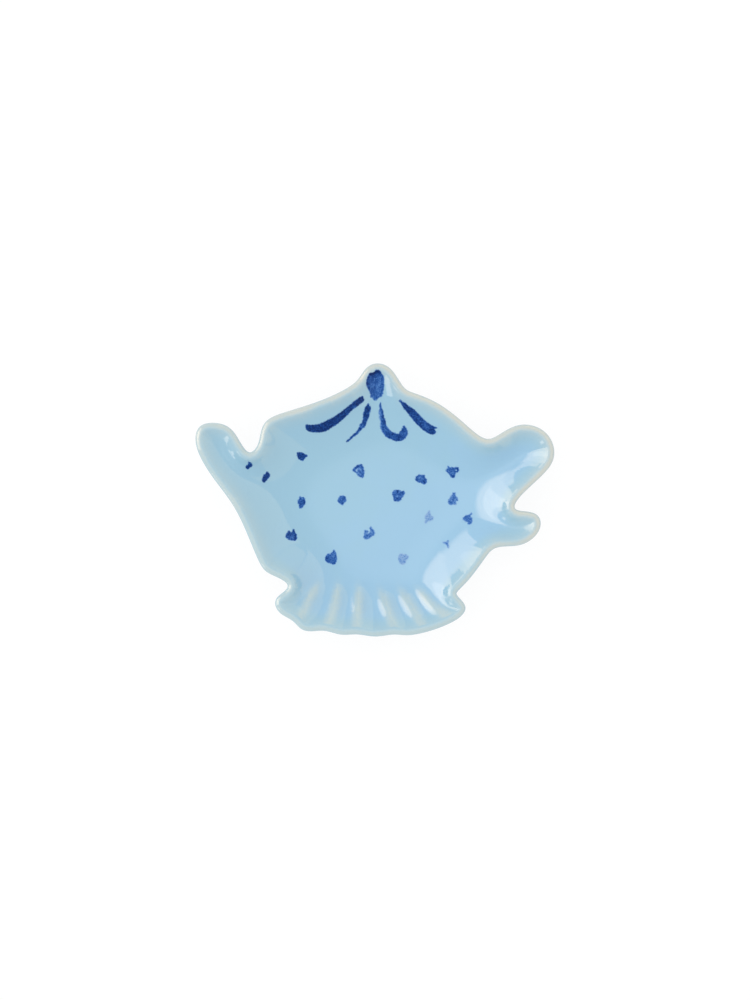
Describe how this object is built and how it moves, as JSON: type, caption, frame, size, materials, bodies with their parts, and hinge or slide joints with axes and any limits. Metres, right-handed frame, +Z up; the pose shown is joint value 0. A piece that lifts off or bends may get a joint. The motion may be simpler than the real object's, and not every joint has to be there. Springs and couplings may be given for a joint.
{
  "type": "tea bag rest",
  "caption": "Shallow glazed ceramic dish in the outline of a teapot, for resting a used tea bag; a sloping wall, a fluted lower edge and cobalt brush marks",
  "frame": {"origin": "centre of the bounding box in plan, at the bottom of the standing ring", "axes": "+X from the tip of the spout towards the handle, +Y towards the knob of the lid, +Z up"},
  "size_m": [0.1199, 0.0913, 0.014],
  "materials": {
    "clay": "bare fired clay, fine grained and matt",
    "glaze": "glossy pale blue glaze, thinner and beige on the lip and ridges",
    "cobalt": "cobalt brushwork sunk in glossy glaze"
  },
  "bodies": {
    "root": {"clay_body": "clay", "glaze_coat": "glaze", "knob_mark": "cobalt", "long_left_stroke": "cobalt", "short_left_stroke": "cobalt", "hooked_stroke": "cobalt", "long_right_stroke": "cobalt", "scattered_dabs": "cobalt"}
  },
  "joints": []
}
